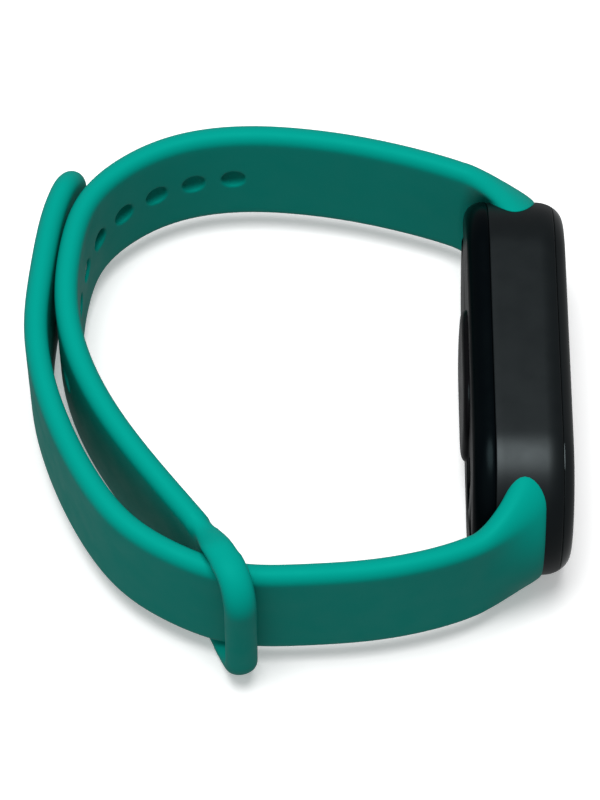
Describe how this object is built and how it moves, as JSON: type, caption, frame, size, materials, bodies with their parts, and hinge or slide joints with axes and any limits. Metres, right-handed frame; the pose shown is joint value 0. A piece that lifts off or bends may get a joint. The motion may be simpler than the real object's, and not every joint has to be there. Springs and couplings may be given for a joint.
{
  "type": "fitness tracker band",
  "caption": "Wrist fitness tracker: pill-shaped capsule with glass front and skin-side sensor on a silicone strap with holes, a loop and a stud, fastened and lying on its side.",
  "frame": {"origin": "centre of the sensor window's skin face", "axes": "+X out through the display, +Y toward the end with the holed strap, +Z along the wrist's axis, so the band lies on its side"},
  "size_m": [0.0644, 0.0684, 0.0226],
  "materials": {
    "silicone": "matte",
    "satin_frame": "satin",
    "gloss_case": "gloss",
    "cover_glass": "gloss",
    "sensor_window": "gloss",
    "display": "gloss",
    "black_plastic": "matte",
    "circuit_board": "satin",
    "cell_foil": "satin",
    "steel": "satin",
    "flex_film": "satin",
    "gold_contact": "polished"
  },
  "bodies": {
    "root": {"display_cover": "cover_glass", "display_adhesive": "black_plastic", "display_panel": "display", "display_flex": "flex_film", "upper_frame": "satin_frame", "case_seal": "black_plastic", "lower_case": "gloss_case", "sensor_lens": "sensor_window", "optical_sensor": "black_plastic", "sensor_board": "circuit_board", "sensor_flex": "flex_film", "charging_contact_1": "gold_contact", "charging_contact_2": "gold_contact", "battery_bracket": "black_plastic", "battery": "cell_foil", "vibration_motor": "steel", "main_board": "circuit_board", "shield_can": "steel", "antenna": "gold_contact", "strap_connector_far": "black_plastic", "strap_connector_near": "black_plastic", "button_spring_far": "steel", "button_spring_near": "steel", "hole_strap": "silicone", "lower_strap": "silicone"},
    "tail": {"strap_tail": "silicone", "fastening_stud": "steel"},
    "button_far": {"release_button_far": "black_plastic"},
    "button_near": {"release_button_near": "black_plastic"}
  },
  "joints": [
    {"name": "tail_peel", "type": "hinge", "parent": "root", "child": "tail", "pos_m": [-0.04995, -0.00049, 0], "axis": [0, 0, 1], "range_deg": [0, 60], "stiffness_Nm_per_rad": 0.01},
    {"name": "release_far", "type": "slide", "parent": "root", "child": "button_far", "axis": [1, 0, 0], "range_m": [0, 0.0008], "stiffness_N_per_m": 500, "springref_m": -0.0005, "deforming": ["button_spring_far"]},
    {"name": "release_near", "type": "slide", "parent": "root", "child": "button_near", "axis": [1, 0, 0], "range_m": [0, 0.0008], "stiffness_N_per_m": 500, "springref_m": -0.0005, "deforming": ["button_spring_near"]}
  ]
}
